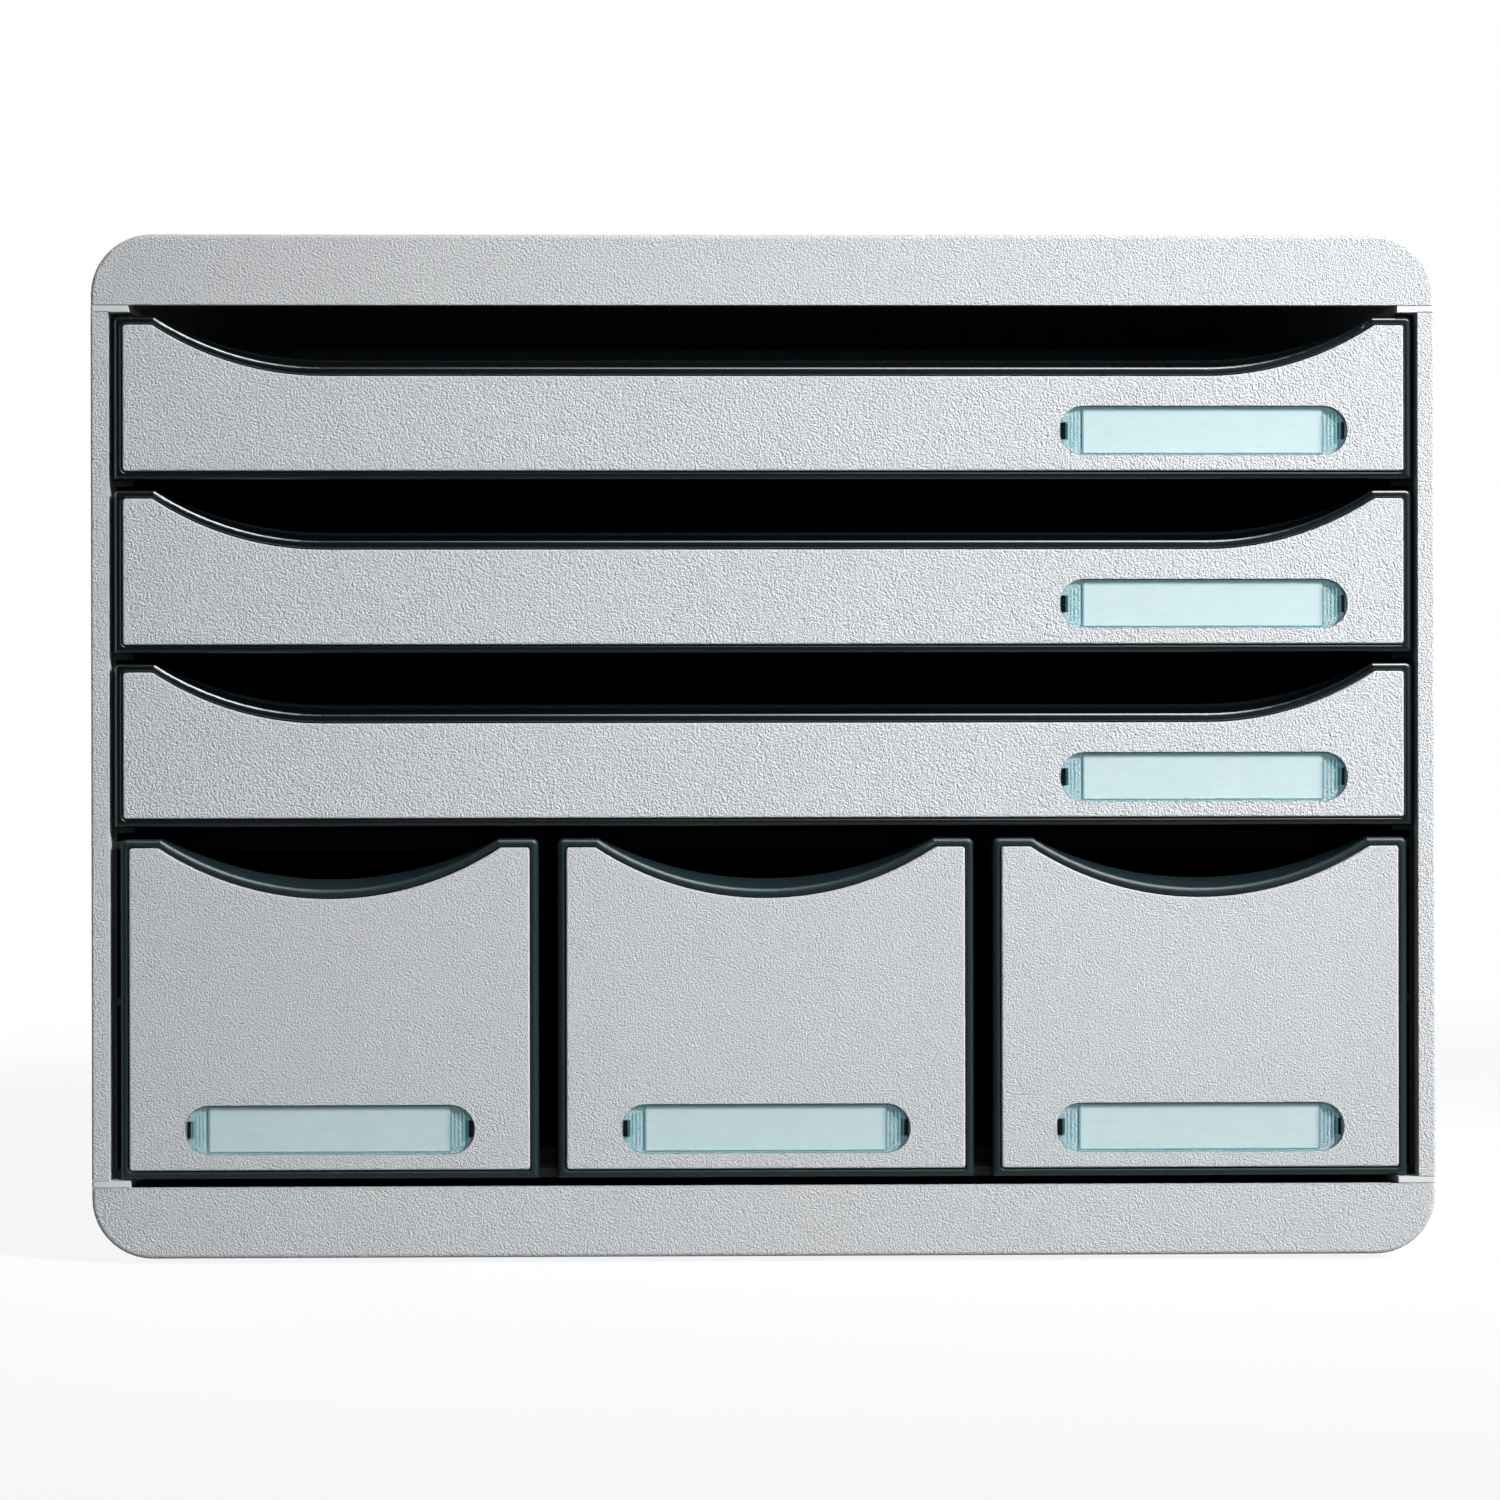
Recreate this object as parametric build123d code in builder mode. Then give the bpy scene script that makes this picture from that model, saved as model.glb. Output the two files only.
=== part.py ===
from build123d import *
import os
from dataclasses import dataclass

os.makedirs("parts", exist_ok=True)

# Desk drawer unit: three wide drawers over a row of three small ones, in a clipped casing.
# Millimetres. +X is the viewer's right, +Y the back, +Z up. The origin is on the desk, under the middle.

# Clearances, and how far cuts run past what they cut
fit_gap = 0.1
run_gap = 0.2
closing_gap = 0.2
guide_gap = 0.4
stop_gap = 0.3
overrun = 2.0

# Casing: the cover and the base are one hollow moulding
casing_width = 355.0
casing_depth = 270.0
shell_height = 18.6
shell_wall = 2.6
shell_corner_radius = 16.0
shell_edge_radius = 1.2

# Side panels
side_wall = 3.0
side_lip_width = 4.6
side_edge_radius = 0.8
flange_width = 10.0
flange_thickness = 1.9
seam_groove = 0.35
tongue_thickness = 1.8
tongue_height = 4.0
tongue_gap = 0.6
tongue_length_share = 0.8

# Back panel
back_thickness = 2.0
back_overlap = 8.0

# Runner panels
runner_thickness = 2.8
ledge_width = 4.6
ledge_thickness = 2.1
ledge_rise = 0.7

# Drawer travel and stops
drawer_travel = 185.0
stop_height = 1.2
stop_length = 8.0
heel_length = 10.0

# Drawer fronts
wide_names = ("lower", "middle", "top")
small_names = ("left_small", "centre_small", "right_small")
wide_front_height = 43.2
small_front_height = 89.6
row_gap = 2.6
bay_gap = 3.1
column_gap = 5.0
wide_side_gap = 1.4
bay_side_gap = 2.9
top_gap = 1.0
bottom_gap = 0.3
frame_setback = 0.8
frame_width = 2.0
frame_edge_radius = 1.35
frame_inner_radius = 0.5
front_corner_radius = 1.6
pocket_depth = 3.0
front_wall = 2.2

# Finger scoop, whose lip rises towards the back
shoulder_width = 10.7
scoop_depth = 13.5
scoop_reach = 44.3
lip_depth = 8.0
lip_rise = 2.6
lip_thickness = 2.2

# Trays
tray_wall = 1.8
tray_floor = 1.8
tray_side_gap = 0.8
tray_rear_gap = 1.0
tray_corner_radius = 6.0
tray_floor_radius = 3.0
tilt_gap = 2.0
small_tray_inset = 3.4
rear_notch_depth = 10.0
rear_notch_margin = 24.0
rear_notch_radius = 6.0

# Front panels
panel_gap = 0.35
panel_proud = 0.4
panel_corner_radius = 0.8
panel_edge_radius = 0.5
tab_width = 8.0
tab_height = 1.6
tab_height_share = 0.4
inner_tab_share = 0.3

# Label windows and cards
label_length = 76.5
label_height = 13.2
label_end_margin = 14.8
label_bottom_margin = 4.0
recess_depth = 1.9
window_thickness = 1.3
window_edge_radius = 0.35
card_end_margin = 6.25
card_side_margin = 0.8
card_thickness = 0.3
latch_slot_width = 1.3
latch_slot_height = 4.6
latch_slot_margin = 0.45
latch_thickness = 0.6
latch_height = 3.6
grip_count = 4
grip_pitch = 1.0
grip_width = 0.8
grip_side_margin = 2.1
grip_depth = 0.4

# Floor and shelf of the small drawers' bay
floor_thickness = 2.4
rail_height = 4.0
rail_wall = 1.6
rail_setback = 12.0
leg_thickness = 2.0
leg_length_share = 0.85
shelf_thickness = 2.0
shelf_setback = 14.0
shelf_lip_drop = 3.0
shelf_lip_thickness = 2.0
shelf_rail_drop = 6.0
shelf_clearance = 0.6
bay_stop_share = 0.5

# Feet
foot_diameter = 14.0
foot_height = 1.2
foot_sink = 1.0
foot_edge_radius = 0.4
foot_inset = 32.0

# Levels, from the desk up
wide_rows = len(wide_names)
small_columns = len(small_names)
base_floor = foot_height + shell_wall
base_top = foot_height + shell_height
flange_top = base_top + flange_thickness
bay_floor_top = flange_top + floor_thickness
small_bottom = flange_top + bottom_gap
wide_bottom = small_bottom + small_front_height + bay_gap
row_pitch = wide_front_height + row_gap
wide_top = wide_bottom + (wide_rows - 1) * row_pitch + wide_front_height
upper_flange_bottom = wide_top + top_gap
cover_bottom = upper_flange_bottom + flange_thickness
side_height = cover_bottom - base_top

# Levels of the ledges and the shelf
wide_bottoms = [wide_bottom + row * row_pitch for row in range(wide_rows)]
ledge_tops = [bottom + ledge_rise for bottom in wide_bottoms]
spare_ledge_top = ledge_tops[0] - row_pitch
shelf_top = ledge_tops[0] - ledge_thickness - fit_gap
shelf_bottom = shelf_top - shelf_thickness
shelf_ledge_top = shelf_bottom - fit_gap
small_wall_top = shelf_bottom - shelf_lip_drop - shelf_clearance

# Places from front to back
casing_front = -casing_depth / 2
casing_rear = casing_depth / 2
frame_front = casing_front + frame_setback
panel_front = frame_front - panel_proud
pocket_floor = frame_front + pocket_depth
front_back = pocket_floor + front_wall
lip_back = frame_front + lip_depth
runner_front = front_back + closing_gap
side_lip_back = runner_front - fit_gap
back_rear = casing_rear - shell_wall - fit_gap
back_front = back_rear - back_thickness
runner_rear = back_front - fit_gap
runner_length = runner_rear - runner_front
runner_middle = (runner_rear + runner_front) / 2
tray_rear = back_front - tray_rear_gap
heel_rear = tray_rear - tray_corner_radius
heel_front = heel_rear - heel_length
stop_rear = heel_front - drawer_travel - stop_gap
rail_length = runner_length - 2 * rail_setback
shelf_front = runner_front + shelf_setback
shelf_length = runner_rear - shelf_front
recess_floor = panel_front + recess_depth

# Places from the middle to the side
side_face = casing_width / 2
tongue_length = casing_depth * tongue_length_share
runner_outer = side_face - side_wall - fit_gap
runner_inner = runner_outer - runner_thickness
ledge_inner = runner_inner - ledge_width
flange_inner = side_face - flange_width
opening_width = casing_width - 2 * side_lip_width

# Drawers across the opening
wide_front_width = opening_width - 2 * wide_side_gap
wide_tray_width = 2 * (runner_inner - tray_side_gap)
column_gaps = (small_columns - 1) * column_gap
small_front_width = (opening_width - 2 * bay_side_gap - column_gaps) / small_columns
small_tray_width = small_front_width - 2 * small_tray_inset
column_pitch = small_front_width + column_gap
column_places = [(column - (small_columns - 1) / 2) * column_pitch for column in range(small_columns)]
rail_places = [(left + right) / 2 for left, right in zip(column_places, column_places[1:])]
rail_width = column_pitch - small_tray_width - 2 * guide_gap
bay_stop_width = small_tray_width * bay_stop_share
panel_inset = frame_width + panel_gap
label_rise = panel_inset + label_bottom_margin + label_height / 2
card_length = label_length - 2 * card_end_margin
card_height = label_height - 2 * card_side_margin
grip_length = label_height - 2 * grip_side_margin


# A sketch plane across the unit: its x runs right, its y runs up, and its normal points to the front
def facing_front(y, x=0.0, z=0.0):
    return Plane(origin=(x, y, z), x_dir=(1, 0, 0), z_dir=(0, -1, 0))


# The side view of a stop: upright at the back, where a heel meets it, and ramped at the front
def stop_profile(level):
    with BuildSketch() as profile:
        with BuildLine():
            Polyline(
                (stop_rear, level),
                (stop_rear, level + stop_height),
                (stop_rear - stop_length / 2, level + stop_height),
                (stop_rear - stop_length, level),
                close=True,
            )
        make_face()
    return profile.sketch


def save(part, name):
    part.label = name
    export_step(part, f"parts/{name}.step")


# Top cover, open towards the drawers
with BuildPart() as top_cover:
    with BuildSketch(facing_front(casing_rear, z=cover_bottom)) as outside:
        Rectangle(casing_width, shell_height, align=(Align.CENTER, Align.MIN))
        fillet(outside.vertices().group_by(Axis.Y)[-1], shell_corner_radius)
    extrude(amount=casing_depth)
    for end in (0, -1):
        fillet(top_cover.edges().group_by(Axis.Y)[end].sort_by(Axis.Z)[1:], shell_edge_radius)
    with BuildSketch(facing_front(casing_rear - shell_wall, z=cover_bottom)) as inside:
        Rectangle(casing_width - 2 * shell_wall, shell_height - shell_wall, align=(Align.CENTER, Align.MIN))
        fillet(inside.vertices().group_by(Axis.Y)[-1], shell_corner_radius - shell_wall)
    extrude(amount=casing_depth - 2 * shell_wall, mode=Mode.SUBTRACT)
save(top_cover.part, "top_cover")

# Base: the same moulding turned over, with round seats for the feet
with BuildPart() as base:
    mirror(top_cover.part, about=Plane.XY.offset((base_top + cover_bottom) / 2))
    with BuildSketch(Plane.XY.offset(foot_height)):
        with GridLocations(casing_width - 2 * foot_inset, casing_depth - 2 * foot_inset, 2, 2):
            Circle(foot_diameter / 2 + fit_gap)
    extrude(amount=foot_sink, mode=Mode.SUBTRACT)
save(base.part, "base")

# Feet: four round pads
with BuildPart() as feet:
    with BuildSketch():
        with GridLocations(casing_width - 2 * foot_inset, casing_depth - 2 * foot_inset, 2, 2):
            Circle(foot_diameter / 2)
    extrude(amount=foot_height + foot_sink)
    fillet(feet.edges().group_by(Axis.Z)[0], foot_edge_radius)
save(feet.part, "feet")

# Side panels: a wall with flanges that meet the cover and the base, front and rear lips, and tongues
with BuildPart() as right_side_panel:
    with BuildSketch(facing_front(casing_rear, side_face, base_top)):
        Rectangle(side_wall, side_height, align=(Align.MAX, Align.MIN))
        Rectangle(flange_width, flange_thickness, align=(Align.MAX, Align.MIN))
        with Locations((0, side_height)):
            Rectangle(flange_width, flange_thickness, align=(Align.MAX, Align.MAX))
    extrude(amount=casing_depth)
    with BuildSketch(Plane.XY.offset(base_top)):
        with Locations((side_face, casing_front)):
            Rectangle(side_lip_width, side_lip_back - casing_front, align=(Align.MAX, Align.MIN))
        with Locations((side_face, casing_rear)):
            Rectangle(side_lip_width, shell_wall, align=(Align.MAX, Align.MAX))
    extrude(amount=side_height)
    fillet(right_side_panel.edges().filter_by(Axis.Z).group_by(Axis.X)[-1], side_edge_radius)
    lip_seams = [(seam - seam_groove / 2, side_lip_width) for seam in (flange_top, upper_flange_bottom)]
    shell_seams = [(seam, flange_width) for seam in (base_top, cover_bottom - seam_groove)]
    for seam, width in lip_seams + shell_seams:
        with BuildSketch(Plane.XY.offset(seam)):
            with Locations((side_face, 0)):
                Rectangle(2 * seam_groove, casing_depth)
            with Locations((side_face, casing_front)):
                Rectangle(2 * width, 2 * seam_groove)
        extrude(amount=seam_groove, mode=Mode.SUBTRACT)
    for level, height in ((base_top, -tongue_height), (cover_bottom, tongue_height)):
        with BuildSketch(Plane.XY.offset(level)):
            with Locations((side_face - shell_wall - tongue_gap, 0)):
                Rectangle(tongue_thickness, tongue_length, align=(Align.MAX, Align.CENTER))
        extrude(amount=height)
save(right_side_panel.part, "right_side_panel")

with BuildPart() as left_side_panel:
    mirror(right_side_panel.part, about=Plane.YZ)
save(left_side_panel.part, "left_side_panel")

# Back panel: held between the lips of the sides, with tabs up into the cover and down into the base
with BuildPart() as back_panel:
    with BuildSketch(facing_front(back_rear, z=(base_top + cover_bottom) / 2)):
        Rectangle(2 * runner_outer, side_height - 2 * (flange_thickness + fit_gap))
        Rectangle(2 * (flange_inner - fit_gap), side_height + 2 * back_overlap)
    extrude(amount=back_thickness)
save(back_panel.part, "back_panel")

# Runner panels: dark liners with a ledge for each level and a ramped stop on the ledges in use
with BuildPart() as right_runner_panel:
    with BuildSketch(facing_front(runner_rear, runner_inner, flange_top + fit_gap)):
        plate_height = upper_flange_bottom - flange_top - 2 * fit_gap
        Rectangle(runner_thickness, plate_height, align=(Align.MIN, Align.MIN))
    extrude(amount=runner_length)
    with BuildSketch(facing_front(runner_rear, runner_inner)):
        with Locations([(0, top) for top in ledge_tops + [spare_ledge_top, shelf_ledge_top]]):
            Rectangle(ledge_width, ledge_thickness, align=(Align.MAX, Align.MAX))
    extrude(amount=runner_length)
    for top in ledge_tops:
        with BuildSketch(Plane.YZ.offset(ledge_inner)):
            add(stop_profile(top))
        extrude(amount=ledge_width)
save(right_runner_panel.part, "right_runner_panel")

with BuildPart() as left_runner_panel:
    mirror(right_runner_panel.part, about=Plane.YZ)
save(left_runner_panel.part, "left_runner_panel")

# Bay floor: a plate on the lower flanges, with hat-shaped guide rails, legs under them and ramped stops
with BuildPart() as bay_floor:
    with BuildSketch(Plane.XY.offset(flange_top)):
        with Locations((0, runner_middle)):
            Rectangle(2 * (runner_inner - fit_gap), runner_length)
    extrude(amount=floor_thickness)
    with BuildSketch(Plane.XY.offset(bay_floor_top)):
        with Locations([(x, runner_middle) for x in rail_places]):
            Rectangle(rail_width, rail_length)
    extrude(amount=rail_height)
    with BuildSketch(Plane.XY.offset(flange_top)):
        with Locations([(x, runner_middle) for x in rail_places]):
            Rectangle(rail_width - 2 * rail_wall, rail_length - 2 * rail_wall)
    extrude(amount=floor_thickness + rail_height - rail_wall, mode=Mode.SUBTRACT)
    with BuildSketch(Plane.XY.offset(base_floor)):
        with Locations([(x, runner_middle) for x in rail_places]):
            Rectangle(leg_thickness, rail_length * leg_length_share)
    extrude(amount=bay_floor_top + rail_height - rail_wall - base_floor)
    for x in column_places:
        with BuildSketch(Plane.YZ.offset(x)):
            add(stop_profile(bay_floor_top))
        extrude(amount=bay_stop_width / 2, both=True)
save(bay_floor.part, "bay_floor")

# Bay shelf: held between two ledges on each side, with a front lip and guide ribs between the drawers
with BuildPart() as bay_shelf:
    with BuildSketch(Plane.XY.offset(shelf_bottom)):
        with Locations((0, shelf_front)):
            Rectangle(2 * (runner_inner - fit_gap), shelf_length, align=(Align.CENTER, Align.MIN))
    extrude(amount=shelf_thickness)
    with BuildSketch(Plane.XY.offset(shelf_bottom)):
        with Locations((0, shelf_front)):
            Rectangle(2 * (ledge_inner - guide_gap), shelf_lip_thickness, align=(Align.CENTER, Align.MIN))
    extrude(amount=-shelf_lip_drop)
    with BuildSketch(Plane.XY.offset(shelf_bottom)):
        rib_shift = (rail_width - rail_wall) / 2
        with Locations([(x + side * rib_shift, shelf_front) for x in rail_places for side in (-1, 1)]):
            Rectangle(rail_wall, shelf_length, align=(Align.CENTER, Align.MIN))
    extrude(amount=-shelf_rail_drop)
save(bay_shelf.part, "bay_shelf")


# What differs from one drawer to the next. Shifts run sideways from the middle of the front.
@dataclass
class Drawer:
    name: str
    centre: float
    bottom: float
    width: float
    height: float
    reach: float
    tray_width: float
    runner: float
    wall_top: float
    heel_shifts: list
    heel_width: float
    label_shift: float
    tab_shifts: list

    @property
    def corner(self):
        return self.width / 2 - shoulder_width

    def plane(self, y, shift=0.0, rise=0.0):
        return facing_front(y, self.centre + shift, self.bottom + rise)


# The scoop's curve: two arcs that run level into a straight bottom
def scoop_curve(drawer, depth):
    low = drawer.height - depth
    flat = drawer.corner - drawer.reach
    TangentArc((flat, low), (drawer.corner, drawer.height), tangent=(1, 0))
    TangentArc((-flat, low), (-drawer.corner, drawer.height), tangent=(-1, 0))
    if flat > 0:
        Line((-flat, low), (flat, low))


# The outline of a front, with its shoulders and scoop
def front_outline(drawer):
    side = drawer.width / 2
    with BuildSketch() as outline:
        with BuildLine():
            scoop_curve(drawer, scoop_depth)
            Polyline(
                (-drawer.corner, drawer.height),
                (-side, drawer.height),
                (-side, 0),
                (side, 0),
                (side, drawer.height),
                (drawer.corner, drawer.height),
            )
        make_face()
    return outline.sketch


# What the scoop leaves open, at a given depth of its curve
def scoop_opening(drawer, depth):
    with BuildSketch() as opening:
        with BuildLine():
            scoop_curve(drawer, depth)
            Polyline(
                (-drawer.corner, drawer.height),
                (-drawer.corner, drawer.height + overrun),
                (drawer.corner, drawer.height + overrun),
                (drawer.corner, drawer.height),
            )
        make_face()
    return opening.sketch


# Tray with its front frame, scoop lip, panel pocket, rear notch and heels
def build_tray(drawer):
    tray_bottom = drawer.runner + stop_height + run_gap
    tray_length = tray_rear - front_back
    wall_height = drawer.wall_top - tray_bottom
    inner_width = drawer.tray_width - 2 * tray_wall
    rise_share = lip_rise / lip_depth

    with BuildPart() as hollow:
        with BuildSketch(Plane.XY.offset(tray_bottom + tray_floor)) as inside:
            with Locations((drawer.centre, front_back)):
                Rectangle(inner_width, tray_length - tray_wall, align=(Align.CENTER, Align.MIN))
            fillet(inside.vertices().group_by(Axis.Y)[-1], tray_corner_radius - tray_wall)
        extrude(amount=wall_height)
        fillet(hollow.edges().group_by(Axis.Z)[0], tray_floor_radius)

    with BuildPart() as tray:
        with BuildSketch(Plane.XY.offset(tray_bottom)) as outside:
            with Locations((drawer.centre, front_back)):
                Rectangle(drawer.tray_width, tray_length, align=(Align.CENTER, Align.MIN))
            fillet(outside.vertices().group_by(Axis.Y)[-1], tray_corner_radius)
        extrude(amount=wall_height)
        add(hollow.part, mode=Mode.SUBTRACT)
        with BuildSketch(drawer.plane(tray_rear, rise=drawer.wall_top - drawer.bottom)) as notch:
            notch_width = drawer.tray_width - 2 * rear_notch_margin
            Rectangle(notch_width, 2 * rear_notch_depth)
            fillet(notch.vertices().group_by(Axis.Y)[0], rear_notch_radius)
        extrude(amount=2 * tray_wall, both=True, mode=Mode.SUBTRACT)
        with BuildSketch(Plane.XY.offset(tray_bottom)):
            with Locations([(drawer.centre + shift, heel_front) for shift in drawer.heel_shifts]):
                Rectangle(drawer.heel_width, heel_length, align=(Align.CENTER, Align.MIN))
        extrude(amount=-stop_height)

        with BuildSketch(drawer.plane(front_back)) as block:
            Rectangle(drawer.width, drawer.height, align=(Align.CENTER, Align.MIN))
            fillet(block.vertices().group_by(Axis.Y)[-1], front_corner_radius)
        extrude(amount=front_back - frame_front)
        with BuildSketch(drawer.plane(lip_back)):
            add(scoop_opening(drawer, scoop_depth))
            with Locations((0, -lip_thickness)):
                add(scoop_opening(drawer, scoop_depth))
            Rectangle(drawer.width, drawer.height, align=(Align.CENTER, Align.MIN), mode=Mode.INTERSECT)
        extrude(amount=lip_back - front_back)
        for y in (frame_front - overrun, lip_back + overrun):
            with BuildSketch(drawer.plane(y)):
                add(scoop_opening(drawer, scoop_depth - (y - frame_front) * rise_share))
        loft(ruled=True, mode=Mode.SUBTRACT)

        with BuildSketch(drawer.plane(frame_front)) as pocket:
            add(front_outline(drawer))
            offset(amount=-frame_width, kind=Kind.INTERSECTION)
            corners = pocket.vertices().group_by(Axis.Y)
            fillet(corners[0] + corners[-1], panel_corner_radius + panel_gap)
        extrude(amount=-pocket_depth, mode=Mode.SUBTRACT)
        with BuildSketch(drawer.plane(pocket_floor, rise=drawer.height * tab_height_share)):
            with Locations([(shift, 0) for shift in drawer.tab_shifts]):
                Rectangle(tab_width + 2 * fit_gap, tab_height + 2 * fit_gap)
        extrude(amount=-front_wall, mode=Mode.SUBTRACT)

        rim = tray.faces().filter_by(Axis.Y).sort_by(Axis.Y)[0]
        fillet(rim.outer_wire().edges(), frame_edge_radius)
        rim = tray.faces().filter_by(Axis.Y).sort_by(Axis.Y)[0]
        fillet(rim.inner_wires()[0].edges(), frame_inner_radius)
    return tray.part


# Front panel with a sunk seat for the label, latch slots at its ends and tabs into the tray
def build_front_panel(drawer):
    slot_width = latch_slot_width + latch_thickness + 2 * fit_gap
    slot_shift = label_length / 2 - latch_slot_margin - slot_width / 2
    with BuildPart() as panel:
        with BuildSketch(drawer.plane(pocket_floor)) as outline:
            add(front_outline(drawer))
            offset(amount=-panel_inset, kind=Kind.INTERSECTION)
            corners = outline.vertices().group_by(Axis.Y)
            fillet(corners[0] + corners[-1], panel_corner_radius)
        extrude(amount=pocket_floor - panel_front)
        fillet(panel.edges().group_by(Axis.Y)[0], panel_edge_radius)
        with BuildSketch(drawer.plane(panel_front, drawer.label_shift, label_rise)):
            SlotOverall(label_length, label_height)
        extrude(amount=-recess_depth, mode=Mode.SUBTRACT)
        with BuildSketch(drawer.plane(recess_floor, drawer.label_shift, label_rise)):
            with Locations((-slot_shift, 0), (slot_shift, 0)):
                Rectangle(slot_width, latch_slot_height)
        extrude(amount=recess_floor - pocket_floor, mode=Mode.SUBTRACT)
        with BuildSketch(drawer.plane(pocket_floor, rise=drawer.height * tab_height_share)):
            with Locations([(shift, 0) for shift in drawer.tab_shifts]):
                Rectangle(tab_width, tab_height)
        extrude(amount=-(front_wall - fit_gap))
    return panel.part


# Clear label window with a pocket for the card, a notch and a latch at each end, and grip grooves
def build_label_window(drawer):
    notch_width = latch_slot_width + latch_slot_margin
    notch_shift = (label_length - notch_width) / 2
    latch_shift = notch_shift - notch_width / 2 - fit_gap - latch_thickness / 2
    grip_shift = (card_length / 2 + latch_shift) / 2
    window_rear = recess_floor - fit_gap
    window_front = window_rear - window_thickness
    label_centre = drawer.centre + drawer.label_shift
    grip_places = [(label_centre + side * grip_shift, window_front) for side in (-1, 1)]
    with BuildPart() as window:
        with BuildSketch(drawer.plane(window_rear, drawer.label_shift, label_rise)):
            SlotOverall(label_length - 2 * fit_gap, label_height - 2 * fit_gap)
        extrude(amount=window_thickness)
        fillet(window.edges().group_by(Axis.Y)[0], window_edge_radius)
        with BuildSketch(drawer.plane(window_rear, drawer.label_shift, label_rise)):
            with Locations((-notch_shift, 0), (notch_shift, 0)):
                Rectangle(notch_width, latch_slot_height)
        extrude(amount=window_thickness, mode=Mode.SUBTRACT)
        with BuildSketch(drawer.plane(recess_floor, drawer.label_shift, label_rise)):
            Rectangle(card_length + 2 * fit_gap, card_height + 2 * fit_gap)
        extrude(amount=card_thickness + fit_gap, mode=Mode.SUBTRACT)
        with BuildSketch(Plane.XY.offset(drawer.bottom + label_rise)):
            with Locations(grip_places):
                with GridLocations(grip_pitch, 0, grip_count, 1):
                    Polygon((-grip_width / 2, 0), (grip_width / 2, 0), (0, grip_depth), align=None)
        extrude(amount=grip_length / 2, both=True, mode=Mode.SUBTRACT)
        with BuildSketch(drawer.plane(window_rear, drawer.label_shift, label_rise)):
            with Locations((-latch_shift, 0), (latch_shift, 0)):
                Rectangle(latch_thickness, latch_height)
        extrude(amount=window_rear - pocket_floor + fit_gap)
    return window.part


# Paper card behind the window
def build_label_card(drawer):
    with BuildPart() as card:
        with BuildSketch(drawer.plane(recess_floor, drawer.label_shift, label_rise)):
            Rectangle(card_length, card_height)
        extrude(amount=card_thickness)
    return card.part


# The wide drawers run on the ledges at both sides, and their labels sit at the right
wide_panel_side = wide_front_width / 2 - panel_inset
wide_end_tab = wide_panel_side - label_end_margin / 2
wide_inner_tab = wide_panel_side * inner_tab_share
wide_heel_width = wide_tray_width / 2 - ledge_inner - guide_gap
wide_heel_shift = (wide_tray_width - wide_heel_width) / 2
drawers = []
for name, bottom in zip(wide_names, wide_bottoms):
    drawers.append(
        Drawer(
            name=name + "_drawer",
            centre=0.0,
            bottom=bottom,
            width=wide_front_width,
            height=wide_front_height,
            reach=scoop_reach,
            tray_width=wide_tray_width,
            runner=bottom + ledge_rise,
            wall_top=bottom + row_pitch + ledge_rise - ledge_thickness - tilt_gap,
            heel_shifts=[-wide_heel_shift, wide_heel_shift],
            heel_width=wide_heel_width,
            label_shift=wide_panel_side - label_end_margin - label_length / 2,
            tab_shifts=[-wide_end_tab, -wide_inner_tab, wide_inner_tab, wide_end_tab],
        )
    )

# The small drawers run on the bay floor, and their labels sit in the middle
small_end_tab = (small_front_width / 2 - panel_inset + label_length / 2) / 2
for name, centre in zip(small_names, column_places):
    drawers.append(
        Drawer(
            name=name + "_drawer",
            centre=centre,
            bottom=small_bottom,
            width=small_front_width,
            height=small_front_height,
            reach=small_front_width / 2 - shoulder_width,
            tray_width=small_tray_width,
            runner=bay_floor_top,
            wall_top=small_wall_top,
            heel_shifts=[0.0],
            heel_width=bay_stop_width,
            label_shift=0.0,
            tab_shifts=[-small_end_tab, small_end_tab],
        )
    )

for drawer in drawers:
    save(build_tray(drawer), drawer.name + "_tray")
    save(build_front_panel(drawer), drawer.name + "_front_panel")
    save(build_label_window(drawer), drawer.name + "_label_window")
    save(build_label_card(drawer), drawer.name + "_label_card")
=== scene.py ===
import math

import bpy
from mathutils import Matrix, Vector


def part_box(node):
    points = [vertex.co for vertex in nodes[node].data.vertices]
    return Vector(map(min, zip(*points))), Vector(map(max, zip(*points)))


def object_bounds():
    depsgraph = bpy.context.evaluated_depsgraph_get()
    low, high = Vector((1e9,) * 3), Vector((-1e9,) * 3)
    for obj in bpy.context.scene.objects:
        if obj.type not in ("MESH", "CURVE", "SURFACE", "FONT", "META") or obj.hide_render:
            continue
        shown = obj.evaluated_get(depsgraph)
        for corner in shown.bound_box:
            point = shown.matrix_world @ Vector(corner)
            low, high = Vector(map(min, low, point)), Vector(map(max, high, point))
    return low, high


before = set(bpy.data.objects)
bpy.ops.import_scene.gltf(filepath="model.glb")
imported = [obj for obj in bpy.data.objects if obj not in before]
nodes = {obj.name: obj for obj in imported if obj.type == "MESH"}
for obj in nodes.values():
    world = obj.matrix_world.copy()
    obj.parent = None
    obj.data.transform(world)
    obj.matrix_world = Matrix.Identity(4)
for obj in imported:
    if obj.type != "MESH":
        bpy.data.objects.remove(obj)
cadLow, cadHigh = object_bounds()
bpy.ops.object.select_all(action="DESELECT")
middle = (cadLow + cadHigh) / 2
print("frame loaded:", len(nodes), "pieces, box", [round(v, 4) for v in cadHigh - cadLow])

wideDrawers = ["lower_drawer", "middle_drawer", "top_drawer"]
smallDrawers = ["left_small_drawer", "centre_small_drawer", "right_small_drawer"]
allDrawers = wideDrawers + smallDrawers
plainWhite = (1.0, 1.0, 1.0, 1.0)
noiseMiddle = 0.5  # the level a noise varies about


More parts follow.
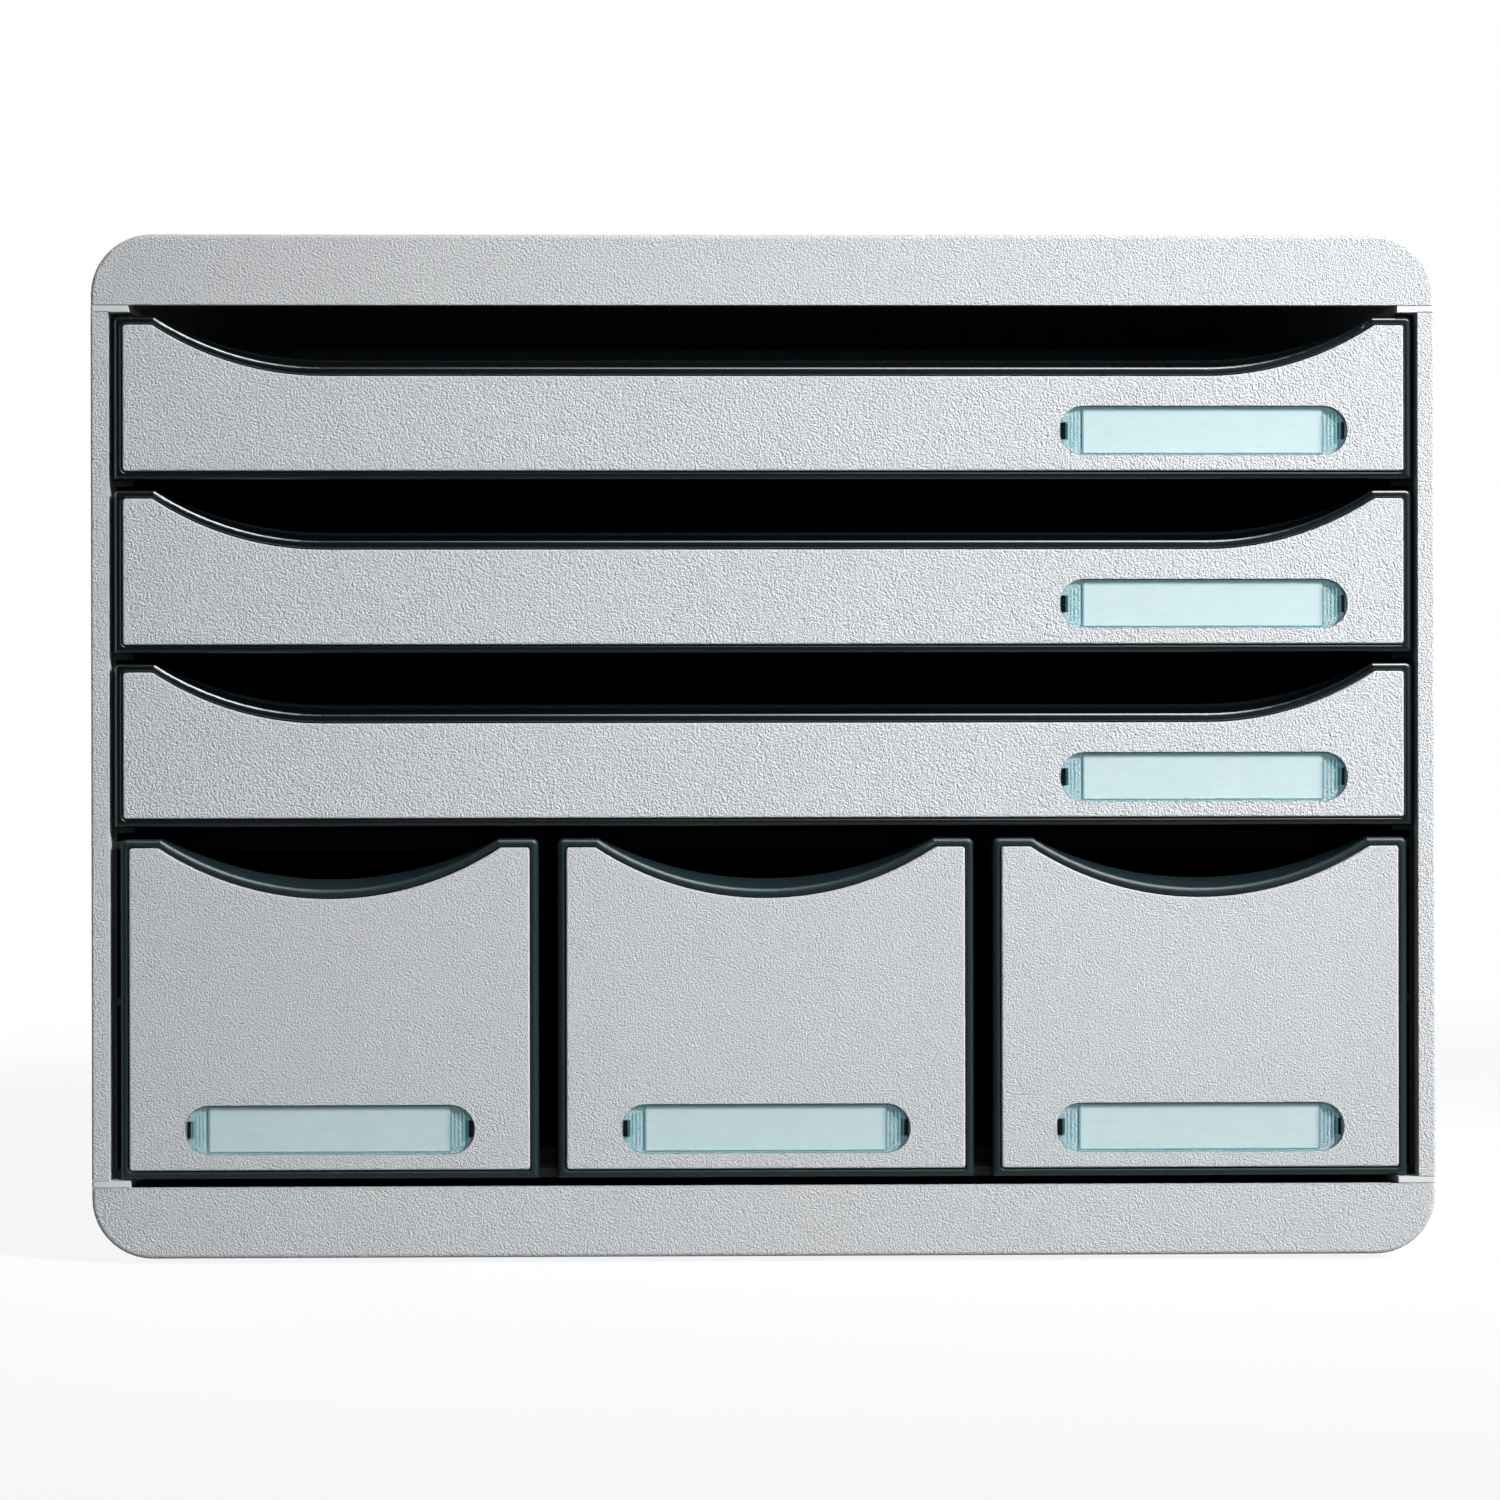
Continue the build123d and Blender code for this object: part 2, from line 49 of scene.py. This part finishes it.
class Wire:  # one socket of a node tree, and sums on wires add Math nodes
    def __init__(self, tree, socket=None):
        self.tree = tree
        self.socket = socket

    def node(self, kind, settings, inputs, output=0):
        made = self.tree.nodes.new("ShaderNode" + kind)
        for name, value in settings.items():
            setattr(made, name, value)
        for name, value in inputs.items():
            if isinstance(value, Wire):
                self.tree.links.new(value.socket, made.inputs[name])
            else:
                made.inputs[name].default_value = value
        return Wire(self.tree, made.outputs[output] if made.outputs else None)

    def maths(self, operation, first, second):
        return self.node("Math", {"operation": operation}, {0: first, 1: second})

    def __add__(self, other):
        return self.maths("ADD", self, other)

    def __sub__(self, other):
        return self.maths("SUBTRACT", self, other)

    def __rsub__(self, other):
        return self.maths("SUBTRACT", other, self)

    def __mul__(self, other):
        return self.maths("MULTIPLY", self, other)

    __radd__ = __add__
    __rmul__ = __mul__

    def above(self, edge, soft):  # 0 below the edge, 1 above it
        return self.node("MapRange", {"interpolation_type": "SMOOTHSTEP"},
                         {"Value": self, "From Min": edge - soft, "From Max": edge + soft})

    def blend(self, first, second):  # a colour between two, by this wire
        colours = {0: self, 6: first, 7: second}  # 6, 7 and output 2 are the colour sockets
        return self.node("Mix", {"data_type": "RGBA"}, colours, 2)


def startFinish(name):
    material = bpy.data.materials.new(name)
    material.use_nodes = True
    material.node_tree.nodes.clear()
    start = Wire(material.node_tree)
    place = start.node("TexCoord", {}, {}, "Object")  # in metres
    return material, start, place


def endFinish(start, sockets):
    shader = start.node("BsdfPrincipled", {}, sockets)
    start.node("OutputMaterial", {}, {"Surface": shader})


def noise(place, scale, detail=2.0, roughness=0.5, distortion=0.0):
    return place.node("TexNoise", {}, {"Vector": place, "Scale": scale, "Detail": detail,
                                       "Roughness": roughness, "Distortion": distortion})


def reliefOf(height, look):
    return height.node("Bump", {}, {"Strength": look["bumpStrength"], "Distance": look["bump"],
                                    "Height": height})


def axisOf(place, axis):
    return place.node("SeparateXYZ", {}, {0: place}, "XYZ".index(axis))


def dress(names, material):
    for name in names:
        for slot in nodes[name].material_slots:
            slot.material = material


# Light grey moulding with a fine pebbled grain, and painted shade in the grain's hollows
greyShell = {
    "colour": (0.640, 0.664, 0.695, 1.0),
    "valleyShade": (0.545, 0.567, 0.597, 1.0),
    "warm": (0.651, 0.655, 0.661, 1.0),
    "bare": (0.685, 0.700, 0.715, 1.0),
    "pebbles": 1750.0,     # per metre, as all such counts here
    "pebbleMelt": 0.7,
    "pebbleShare": 0.45,
    "wrinkles": 2400.0,
    "wrinkleDetail": 1.5,
    "wrinkleHarsh": 0.55,
    "wrinkleTwist": 0.7,
    "wrinkleShare": 0.75,
    "peak": 0.52,          # grain below this shows the painted shade of its hollows
    "peakSoft": 0.2,
    "drift": 14.0,
    "driftSoft": 0.2,
    "bareLevel": 0.6,
    "bareEdge": 0.0002,    # metres
    "bump": 0.00050,       # metres
    "bumpStrength": 1.0,
    "rough": 0.68,
    "grainRough": -0.12,
    "driftRough": 0.06,
    "ior": 1.47,
    "shine": 0.25,
}


def grainedGrey(name, look, grainFrom=None, grainTo=None):
    material, start, place = startFinish(name)
    pebbles = place.node("TexVoronoi", {"feature": "SMOOTH_F1"}, {
        "Vector": place, "Scale": look["pebbles"], "Smoothness": look["pebbleMelt"]})
    wrinkles = noise(place, look["wrinkles"], look["wrinkleDetail"], look["wrinkleHarsh"],
                     look["wrinkleTwist"])
    grain = wrinkles * look["wrinkleShare"] + (1 - pebbles) * look["pebbleShare"]
    if grainFrom is not None:  # the flange ends are bare
        height, edge = axisOf(place, "Z"), look["bareEdge"]
        grained = height.above(grainFrom, edge) * (1 - height.above(grainTo, edge))
        grain = grain * grained + (1 - grained) * look["bareLevel"]
    drift = noise(place, look["drift"])
    mottled = drift.above(noiseMiddle, look["driftSoft"]).blend(look["colour"], look["warm"])
    # painted shade: grain below the peak takes the darker hollow colour
    colour = grain.above(look["peak"], look["peakSoft"]).blend(look["valleyShade"], mottled)
    if grainFrom is not None:
        colour = grained.blend(look["bare"], colour)
    endFinish(start, {
        "Base Color": colour,
        "Roughness": grain * look["grainRough"] + drift * look["driftRough"] + look["rough"],
        "Normal": reliefOf(grain, look),
        "IOR": look["ior"],
        "Specular IOR Level": look["shine"],
    })
    return material


greyPanel = dict(
    greyShell, colour=(0.692, 0.719, 0.752, 1.0), valleyShade=(0.580, 0.605, 0.638, 1.0),
    warm=(0.697, 0.709, 0.722, 1.0), pebbles=1700.0, wrinkles=2350.0, bump=0.00075, rough=0.62)
# painted shade: a darker copy of the wide fronts' grey for the lower fronts, with a finer grain
greySmallPaintedShade = dict(
    greyPanel, colour=(0.630, 0.653, 0.684, 1.0), valleyShade=(0.535, 0.556, 0.585, 1.0),
    warm=(0.634, 0.643, 0.656, 1.0), pebbles=1950.0, wrinkles=2700.0, bump=0.00050)

linerLow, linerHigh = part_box("right_runner_panel")
dress(["top_cover", "base"], grainedGrey("grained_grey_shell", greyShell))
dress(["left_side_panel", "right_side_panel"],
      grainedGrey("grained_grey_sides", greyShell, linerLow.z, linerHigh.z))
dress([name + "_front_panel" for name in wideDrawers],
      grainedGrey("grained_grey_fronts", greyPanel))
dress([name + "_front_panel" for name in smallDrawers],
      grainedGrey("grained_grey_small_fronts_painted_shade", greySmallPaintedShade))
print("grained grey plastic on the casing and the fronts")


# Dark slate plastic: polished round the fronts, satin further in
darkTray = {
    "colour": (0.0034, 0.0060, 0.0084, 1.0),
    "dull": (0.0026, 0.0044, 0.0060, 1.0),
    "grain": 2100.0,
    "drift": 22.0,
    "driftDetail": 3.0,
    "driftSoft": 0.25,
    "noiseHarsh": 0.6,
    "bump": 0.00003,
    "bumpStrength": 1.0,
    "polish": 0.16,        # roughness at the front
    "polishDrift": 0.08,
    "polishEdge": 0.001,   # metres
    "satin": 0.46,         # roughness behind it
    "satinDrift": 0.10,
    "satinGrain": 0.06,
    "ior": 1.50,
    "gloss": 0.8,
}


def darkPlastic(name, look, polishedFrontOf=None):
    material, start, place = startFinish(name)
    drift = noise(place, look["drift"], look["driftDetail"], look["noiseHarsh"])
    grain = noise(place, look["grain"], roughness=look["noiseHarsh"])
    dulled = drift.above(noiseMiddle, look["driftSoft"])
    gloss = 0.0
    if polishedFrontOf is None:
        rough = (drift * look["satinDrift"] + grain * look["satinGrain"]
                 + (look["satin"] - noiseMiddle * (look["satinDrift"] + look["satinGrain"])))
    else:
        inner = axisOf(place, "Y").above(polishedFrontOf, look["polishEdge"])
        rough = (inner * (look["satin"] - look["polish"]) + drift * look["polishDrift"]
                 + (look["polish"] - noiseMiddle * look["polishDrift"]))
        gloss = (1 - inner) * look["gloss"]
    endFinish(start, {
        "Base Color": dulled.blend(look["colour"], look["dull"]),
        "Roughness": rough,
        "Normal": reliefOf(grain, look),
        "IOR": look["ior"],
        "Coat Weight": gloss,
        "Coat Roughness": look["polish"],
    })
    return material


darkSmallTrayPaintedSheen = dict(  # the small frames are duller; their lighter colour is a painted sheen
    darkTray, colour=(0.0085, 0.0185, 0.0220, 1.0), dull=(0.0070, 0.0150, 0.0180, 1.0),
    polish=0.40, gloss=0.10)
darkLiner = dict(
    darkTray, colour=(0.024, 0.0245, 0.0255, 1.0), dull=(0.016, 0.0165, 0.017, 1.0),
    satin=0.52, bump=0.00005)
# painted shade: the shelf is a darker copy of the liner plastic, black as the shade it sits in
darkShelfPaintedShade = dict(
    darkLiner, colour=(0.0042, 0.0044, 0.0047, 1.0), dull=(0.0030, 0.0031, 0.0033, 1.0),
    satin=0.70, ior=1.25)

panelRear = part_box("top_drawer_front_panel")[1].y
dress([name + "_tray" for name in wideDrawers],
      darkPlastic("dark_tray_plastic", darkTray, panelRear))
dress([name + "_tray" for name in smallDrawers],
      darkPlastic("dark_small_tray_plastic_painted_sheen", darkSmallTrayPaintedSheen, panelRear))
dress(["left_runner_panel", "right_runner_panel", "bay_floor", "back_panel"],
      darkPlastic("dark_liner_plastic", darkLiner))
dress(["bay_shelf"], darkPlastic("dark_shelf_plastic_painted_shade", darkShelfPaintedShade))
print("dark plastic on the trays and the liners")


# Clear, faintly blue-green window, and the paper behind it
clearWindow = {
    "tint": (0.330, 0.690, 0.770, 1.0),
    "edge": (0.200, 0.520, 0.560, 1.0),
    "haze": 0.12,          # how much of the tint each face shows
    "edgeHaze": 0.75,      # more of it on grooves and rims
    "driftHaze": 0.03,
    "drift": 60.0,
    "bump": 0.00002,
    "bumpStrength": 0.6,
    "rough": 0.08,
    "driftRough": 0.05,
    "ior": 1.49,
}
paperCard = {
    "colour": (0.756, 0.774, 0.762, 1.0),
    "fibre": (0.708, 0.730, 0.721, 1.0),
    "shade": (0.230, 0.290, 0.300, 1.0),
    "endShadowWidth": 0.0004,      # painted shadow at the card's ends, metres
    "endShadowSoft": 0.0004 / 3,
    "fibres": 700.0,
    "fibreStretch": (0.35, 1.0, 1.0),
    "fibreDetail": 3.0,
    "fibreHarsh": 0.6,
    "fibreTwist": 0.4,
    "fibreSoft": 0.2,
    "bump": 0.00003,
    "bumpStrength": 0.7,
    "rough": 0.78,
    "fibreRough": 0.08,
}


def windowPlastic(look):
    material, start, place = startFinish("clear_label_window")
    drift = noise(place, look["drift"])
    facing = start.node("NewGeometry", {}, {}, "Normal")
    tilt = 1 - axisOf(facing.node("VectorMath", {"operation": "ABSOLUTE"}, {0: facing}), "Y")
    endFinish(start, {
        "Base Color": tilt.blend(look["tint"], look["edge"]),
        "Roughness": drift * look["driftRough"] + look["rough"],
        "Alpha": tilt * look["edgeHaze"] + drift * look["driftHaze"] + look["haze"],
        "Normal": reliefOf(drift, look),
        "IOR": look["ior"],
    })
    return material


def cardPaper(look, card):
    material, start, place = startFinish(card + "_paper")
    low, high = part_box(card)
    across = axisOf(place, "X") - (low.x + high.x) / 2
    fromMiddle = across.maths("ABSOLUTE", across, 0.0)
    # painted shadow: a dark line along each end of the card
    endShadowMask = fromMiddle.above((high.x - low.x) / 2 - look["endShadowWidth"], look["endShadowSoft"])
    stretched = start.node("Mapping", {}, {"Vector": place, "Scale": look["fibreStretch"]})
    fibres = noise(stretched, look["fibres"], look["fibreDetail"], look["fibreHarsh"],
                   look["fibreTwist"])
    paper = fibres.above(noiseMiddle, look["fibreSoft"]).blend(look["fibre"], look["colour"])
    endFinish(start, {
        "Base Color": endShadowMask.blend(paper, look["shade"]),
        "Roughness": fibres * look["fibreRough"] + look["rough"],
        "Normal": reliefOf(fibres, look),
    })
    return material


dress([name + "_label_window" for name in allDrawers], windowPlastic(clearWindow))
for name in allDrawers:
    dress([name + "_label_card"], cardPaper(paperCard, name + "_label_card"))
print("label windows and cards")


# Soft pads under the base
rubberFeet = {
    "colour": (0.030, 0.031, 0.033, 1.0),
    "worn": (0.055, 0.056, 0.058, 1.0),
    "wornFrom": 0.55,
    "wornSoft": 0.2,
    "grain": 1500.0,
    "drift": 90.0,
    "driftDetail": 3.0,
    "bump": 0.00008,
    "bumpStrength": 0.8,
    "rough": 0.82,
    "driftRough": 0.1,
}


def footRubber(look):
    material, start, place = startFinish("foot_rubber")
    drift = noise(place, look["drift"], look["driftDetail"])
    grain = noise(place, look["grain"])
    worn = drift.above(look["wornFrom"], look["wornSoft"])
    endFinish(start, {
        "Base Color": worn.blend(look["colour"], look["worn"]),
        "Roughness": drift * look["driftRough"] + look["rough"],
        "Normal": reliefOf(grain, look),
    })
    return material


dress(["feet"], footRubber(rubberFeet))
print("rubber feet")


# Floor: white to the eye, with the shadow near the unit; the room's soft light passes it
floorLook = {
    "size": 16.0,
    "drop": 0.0002,        # under the feet
    "near": 0.75,          # how far the shadow shows
    "soft": 0.35,
    "shadow": 0.13,
    "mirrored": (0.30, 0.315, 0.325, 1.0),  # its colour in reflections
}


def makeFloor(look):
    bpy.ops.mesh.primitive_plane_add(size=look["size"], location=(0, 0, cadLow.z - look["drop"]))
    floor = bpy.context.active_object
    floor.name = "studio_floor"
    material, start, place = startFinish("studio_floor_white")
    reach = place.node("VectorMath", {"operation": "LENGTH"}, {0: place}, "Value")
    near = 1 - reach.above(look["near"], look["soft"])
    white = start.node("Emission", {}, {"Color": plainWhite, "Strength": 1.0})
    shaded = start.node("BsdfDiffuse", {}, {"Color": plainWhite})
    mirrored = start.node("BsdfDiffuse", {}, {"Color": look["mirrored"]})
    clear = start.node("BsdfTransparent", {}, {})
    camera = start.node("LightPath", {}, {}, "Is Camera Ray")
    soft = start.node("LightPath", {}, {}, "Is Diffuse Ray")
    shadow = start.node("LightPath", {}, {}, "Is Shadow Ray")
    under = start.node("NewGeometry", {}, {}, "Backfacing")  # from below the floor isn't there
    unseen = under.maths("MAXIMUM", under, soft.maths("MAXIMUM", soft, shadow))
    seen = start.node("MixShader", {}, {0: near * look["shadow"], 1: white, 2: shaded})
    surface = start.node("MixShader", {}, {0: camera, 1: mirrored, 2: seen})
    surface = start.node("MixShader", {}, {0: unseen, 1: surface, 2: clear})
    start.node("OutputMaterial", {}, {"Surface": surface})
    floor.data.materials.append(material)


makeFloor(floorLook)


# Studio light: a soft lamp at the front right, one behind at the left, and a room
keyLamp = {
    "place": (1.53, -1.27, 1.14),
    "aim": (0.25, -0.135, 0.275),
    "size": 0.45,
    "watts": 3.0,
    "spread": 30,
    "mirrored": False,     # the room's softbox stands for it in reflections
}
backLamp = {
    "place": (-1.3, 1.5, 0.7),
    "aim": (0.0, 0.1, 0.1),
    "size": 1.0,
    "watts": 14.0,
    "spread": 150,
    "mirrored": True,
}
room = {
    "ambient": 0.147,
    "tint": (0.965, 0.985, 1.0, 1.0),
    "fromBelow": (1.50, 1.55, 1.57, 1.0),
    "horizonSoft": 0.05,
    "dimFront": (0.02, 0.03, 0.035, 1.0),  # what reflections show
    "coolWall": (0.70, 0.93, 1.0, 1.0),
    "wallBehind": -0.2,
    "wallBehindSoft": 0.3,
    "wallRight": 0.30,
    "wallRightSoft": 0.42,
    "softbox": 14.0,
    "softboxSide": (0.460, -0.285, 0.841),
    "softboxEdge": 0.90,
    "softboxSoft": 0.07,
}


def addLamp(name, look):
    lamp = bpy.data.lights.new(name, "AREA")
    lamp.shape = "SQUARE"
    lamp.size = look["size"]
    lamp.energy = look["watts"]
    lamp.spread = math.radians(look["spread"])
    stand = bpy.data.objects.new(name, lamp)
    stand.location = look["place"]
    stand.visible_glossy = look["mirrored"]
    aim = Vector(look["aim"]) - Vector(look["place"])
    stand.rotation_euler = aim.to_track_quat("-Z", "Y").to_euler()
    bpy.context.scene.collection.objects.link(stand)


def makeRoom(look):
    world = bpy.data.worlds.new("white_room")
    world.use_nodes = True
    world.node_tree.nodes.clear()
    start = Wire(world.node_tree)
    toward = start.node("TexCoord", {}, {}, 0)  # the way a ray goes
    rightward, forward, upward = axisOf(toward, "X"), axisOf(toward, "Y"), axisOf(toward, "Z")
    behind = forward.above(look["wallBehind"], look["wallBehindSoft"])
    right = rightward.above(look["wallRight"], look["wallRightSoft"])
    wall = behind.maths("MAXIMUM", behind, right).blend(look["dimFront"], look["coolWall"])
    soft = upward.above(0.0, look["horizonSoft"]).blend(look["fromBelow"], look["tint"])
    nearness = toward.node("VectorMath", {"operation": "DOT_PRODUCT"},
                           {0: toward, 1: look["softboxSide"]}, "Value")
    boxed = nearness.above(look["softboxEdge"], look["softboxSoft"])
    camera = start.node("LightPath", {}, {}, "Is Camera Ray")
    glossy = start.node("LightPath", {}, {}, "Is Glossy Ray")
    ambient = start.node("Background", {}, {"Color": soft, "Strength": look["ambient"]})
    walls = start.node("Background", {}, {"Color": wall, "Strength": 1.0})
    softbox = start.node("Background", {}, {"Color": look["tint"], "Strength": look["softbox"]})
    white = start.node("Background", {}, {"Color": plainWhite, "Strength": 1.0})
    mirrored = start.node("MixShader", {}, {0: boxed, 1: walls, 2: softbox})
    shone = start.node("MixShader", {}, {0: glossy, 1: ambient, 2: mirrored})
    both = start.node("MixShader", {}, {0: camera, 1: shone, 2: white})
    start.node("OutputWorld", {}, {"Surface": both})
    bpy.context.scene.world = world


addLamp("key_lamp", keyLamp)
addLamp("back_lamp", backLamp)
makeRoom(room)
print("floor, lamps and room")


# Camera: a little left of the middle, level with it, one metre from the fronts
cameraLook = {
    "left": 0.0233,
    "away": 1.0,
    "height": 0.1349,
    "turn": 1.1,           # degrees
    "down": 0.0,
    "roll": 0.10,
    "lens": 90.97,         # millimetres
    "sensor": 36.0,
}


def makeCamera(look):
    lens = bpy.data.cameras.new("photo_camera")
    lens.lens = look["lens"]
    lens.sensor_width = look["sensor"]
    camera = bpy.data.objects.new("photo_camera", lens)
    camera.location = (middle.x - look["left"], cadLow.y - look["away"], look["height"])
    camera.rotation_euler = (math.radians(90 - look["down"]), math.radians(look["roll"]),
                             -math.radians(look["turn"]))
    bpy.context.scene.collection.objects.link(camera)
    bpy.context.scene.camera = camera


makeCamera(cameraLook)
bpy.context.scene.view_settings.view_transform = "Standard"
print("camera set")
